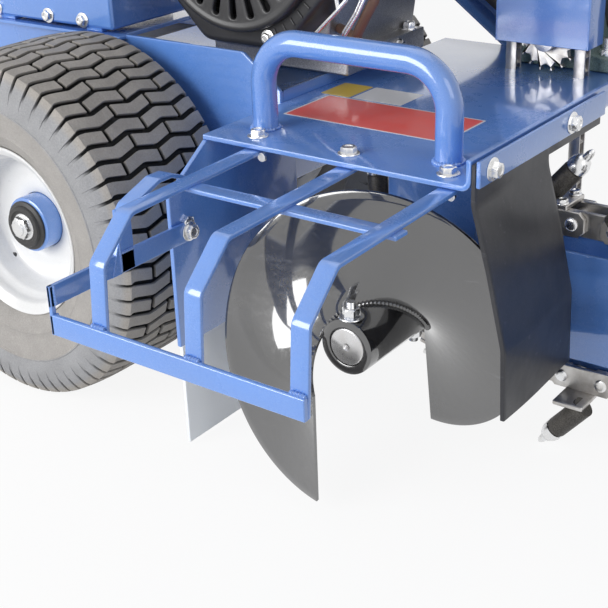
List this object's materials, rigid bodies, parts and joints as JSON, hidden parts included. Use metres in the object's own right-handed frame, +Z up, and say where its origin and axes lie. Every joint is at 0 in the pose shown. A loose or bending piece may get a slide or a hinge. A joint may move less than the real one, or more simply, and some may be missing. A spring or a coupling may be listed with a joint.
{
  "type": "walk-behind trencher",
  "caption": "Walk-behind trencher: wheeled frame with engine, digging chain on a boom, spoil auger under a bar guard, casters and a handlebar.",
  "frame": {"origin": "middle of the bottom of the whole machine's box, on the ground that the wheels stand on", "axes": "+X forward from the handlebar to the digging boom, +Y to the left across the machine, +Z up"},
  "size_m": [2.2034, 0.947, 1.0264],
  "materials": {
    "bearing_green_paint": "grey green casting paint",
    "belt_rubber": "matt belt rubber",
    "black_gloss_paint": "glossy black paint, scoured by soil",
    "black_plastic": "satin black moulding",
    "blue_powder_coat": "glossy royal blue powder coat",
    "bright_steel": "bright turned and zinc plated steel",
    "cast_aluminium": "die cast aluminium",
    "chain_steel": "dull bright chain steel",
    "flap_rubber": "smooth black belting",
    "grey_cast_iron": "bare grey casting",
    "grip_rubber": "moulded black grips",
    "pale_grey_paint": "pale grey paint",
    "tyre_rubber": "dusty black tread rubber",
    "white_rim_paint": "white gloss enamel"
  },
  "bodies": {
    "machine_frame": {"air_cleaner": "black_plastic", "auger_guard": "blue_powder_coat", "auger_scraper": "pale_grey_paint", "auger_side_plate": "blue_powder_coat", "belt_guard": "blue_powder_coat", "blower_housing": "black_plastic", "chassis": "blue_powder_coat", "control_console": "blue_powder_coat", "counterweight": "grey_cast_iron", "crankcase": "cast_aluminium", "cylinder": "cast_aluminium", "deck_handle": "blue_powder_coat", "digging_deck": "blue_powder_coat", "drive_belt": "belt_rubber", "fan_cover": "black_plastic", "flap_clamp": "blue_powder_coat", "fuel_tank": "black_plastic", "handlebar": "blue_powder_coat", "inner_pillow_block": "bearing_green_paint", "jackshaft_cover": "blue_powder_coat", "left_grip": "grip_rubber", "left_hanger": "blue_powder_coat", "left_head_bearing": "bright_steel", "muffler": "bright_steel", "outer_pillow_block": "bearing_green_paint", "reservoir": "blue_powder_coat", "right_grip": "grip_rubber", "right_hanger": "blue_powder_coat", "right_head_bearing": "bright_steel", "roller_chain": "chain_steel", "spoil_flap": "flap_rubber", "transaxle": "cast_aluminium"},
    "headshaft_group": {"auger": "black_gloss_paint", "drive_sprocket": "grey_cast_iron", "driven_sprocket": "bright_steel", "headshaft": "bright_steel"},
    "boom_group": {"boom": "blue_powder_coat", "digging_chain": "chain_steel"},
    "clutch_lever_arm": {"clutch_lever": "black_plastic"},
    "crankshaft_group": {"cooling_fan": "black_plastic", "crankshaft": "bright_steel", "engine_pulley": "grey_cast_iron"},
    "jackshaft_group": {"driven_pulley": "grey_cast_iron", "jackshaft": "bright_steel", "jackshaft_sprocket": "bright_steel"},
    "fuel_cap_body": {"fuel_cap": "black_plastic"},
    "left_wheel": {"left_axle": "blue_powder_coat", "left_rim": "white_rim_paint", "left_tyre": "tyre_rubber"},
    "left_caster": {"left_caster_fork": "blue_powder_coat"},
    "left_caster_roller": {"left_caster_wheel": "tyre_rubber"},
    "nose_group": {"nose_sprocket": "grey_cast_iron"},
    "right_wheel": {"right_axle": "blue_powder_coat", "right_rim": "white_rim_paint", "right_tyre": "tyre_rubber"},
    "right_caster": {"right_caster_fork": "blue_powder_coat"},
    "right_caster_roller": {"right_caster_wheel": "tyre_rubber"},
    "throttle_lever_arm": {"throttle_lever": "black_plastic"},
    "travel_lever_arm": {"travel_lever": "black_plastic"}
  },
  "joints": [
    {"name": "headshaft_spin", "type": "hinge", "parent": "machine_frame", "child": "headshaft_group", "pos_m": [0.27528, -0.2105, 0.186], "axis": [0, 1, 0], "continuous": true},
    {"name": "jackshaft_spin", "type": "hinge", "parent": "machine_frame", "child": "jackshaft_group", "pos_m": [0.27528, -0.2105, 0.43365], "axis": [0, 1, 0], "continuous": true},
    {"name": "crankshaft_spin", "type": "hinge", "parent": "machine_frame", "child": "crankshaft_group", "pos_m": [-0.01972, -0.2105, 0.596], "axis": [0, 1, 0], "continuous": true},
    {"name": "boom_lift", "type": "hinge", "parent": "machine_frame", "child": "boom_group", "pos_m": [0.27528, 0.0195, 0.186], "axis": [0, 1, 0], "range_deg": [0, 60]},
    {"name": "nose_spin", "type": "hinge", "parent": "boom_group", "child": "nose_group", "pos_m": [0.93568, 0.0195, 0.186], "axis": [0, 1, 0], "continuous": true},
    {"name": "right_wheel_spin", "type": "hinge", "parent": "machine_frame", "child": "right_wheel", "pos_m": [-0.23072, -0.1865, 0.2286], "axis": [0, 1, 0], "continuous": true},
    {"name": "left_wheel_spin", "type": "hinge", "parent": "machine_frame", "child": "left_wheel", "pos_m": [-0.23072, 0.3655, 0.2286], "axis": [0, 1, 0], "continuous": true},
    {"name": "right_caster_swivel", "type": "hinge", "parent": "machine_frame", "child": "right_caster", "pos_m": [-0.59072, -0.0355, 0.239], "axis": [0, 0, 1], "continuous": true},
    {"name": "left_caster_swivel", "type": "hinge", "parent": "machine_frame", "child": "left_caster", "pos_m": [-0.59072, 0.2145, 0.239], "axis": [0, 0, 1], "continuous": true},
    {"name": "right_caster_spin", "type": "hinge", "parent": "right_caster", "child": "right_caster_roller", "pos_m": [-0.63072, -0.0355, 0.08], "axis": [0, 1, 0], "continuous": true},
    {"name": "left_caster_spin", "type": "hinge", "parent": "left_caster", "child": "left_caster_roller", "pos_m": [-0.63072, 0.2145, 0.08], "axis": [0, 1, 0], "continuous": true},
    {"name": "clutch_lever_swing", "type": "hinge", "parent": "machine_frame", "child": "clutch_lever_arm", "pos_m": [-0.81093, 0.0195, 0.89783], "axis": [0, 1, 0], "range_deg": [-20, 20]},
    {"name": "travel_lever_swing", "type": "hinge", "parent": "machine_frame", "child": "travel_lever_arm", "pos_m": [-0.81093, 0.0895, 0.89783], "axis": [0, 1, 0], "range_deg": [-20, 20]},
    {"name": "throttle_lever_swing", "type": "hinge", "parent": "machine_frame", "child": "throttle_lever_arm", "pos_m": [-0.81093, 0.1595, 0.89783], "axis": [0, 1, 0], "range_deg": [-20, 20]},
    {"name": "fuel_cap_turn", "type": "hinge", "parent": "machine_frame", "child": "fuel_cap_body", "pos_m": [0.07528, 0.1275, 0.859], "axis": [0, 0, 1], "range_deg": [0, 90]}
  ],
  "couplings": [
    {"joint": "jackshaft_spin", "follows": "headshaft_spin", "ratio": 1},
    {"joint": "nose_spin", "follows": "headshaft_spin", "ratio": 1}
  ]
}
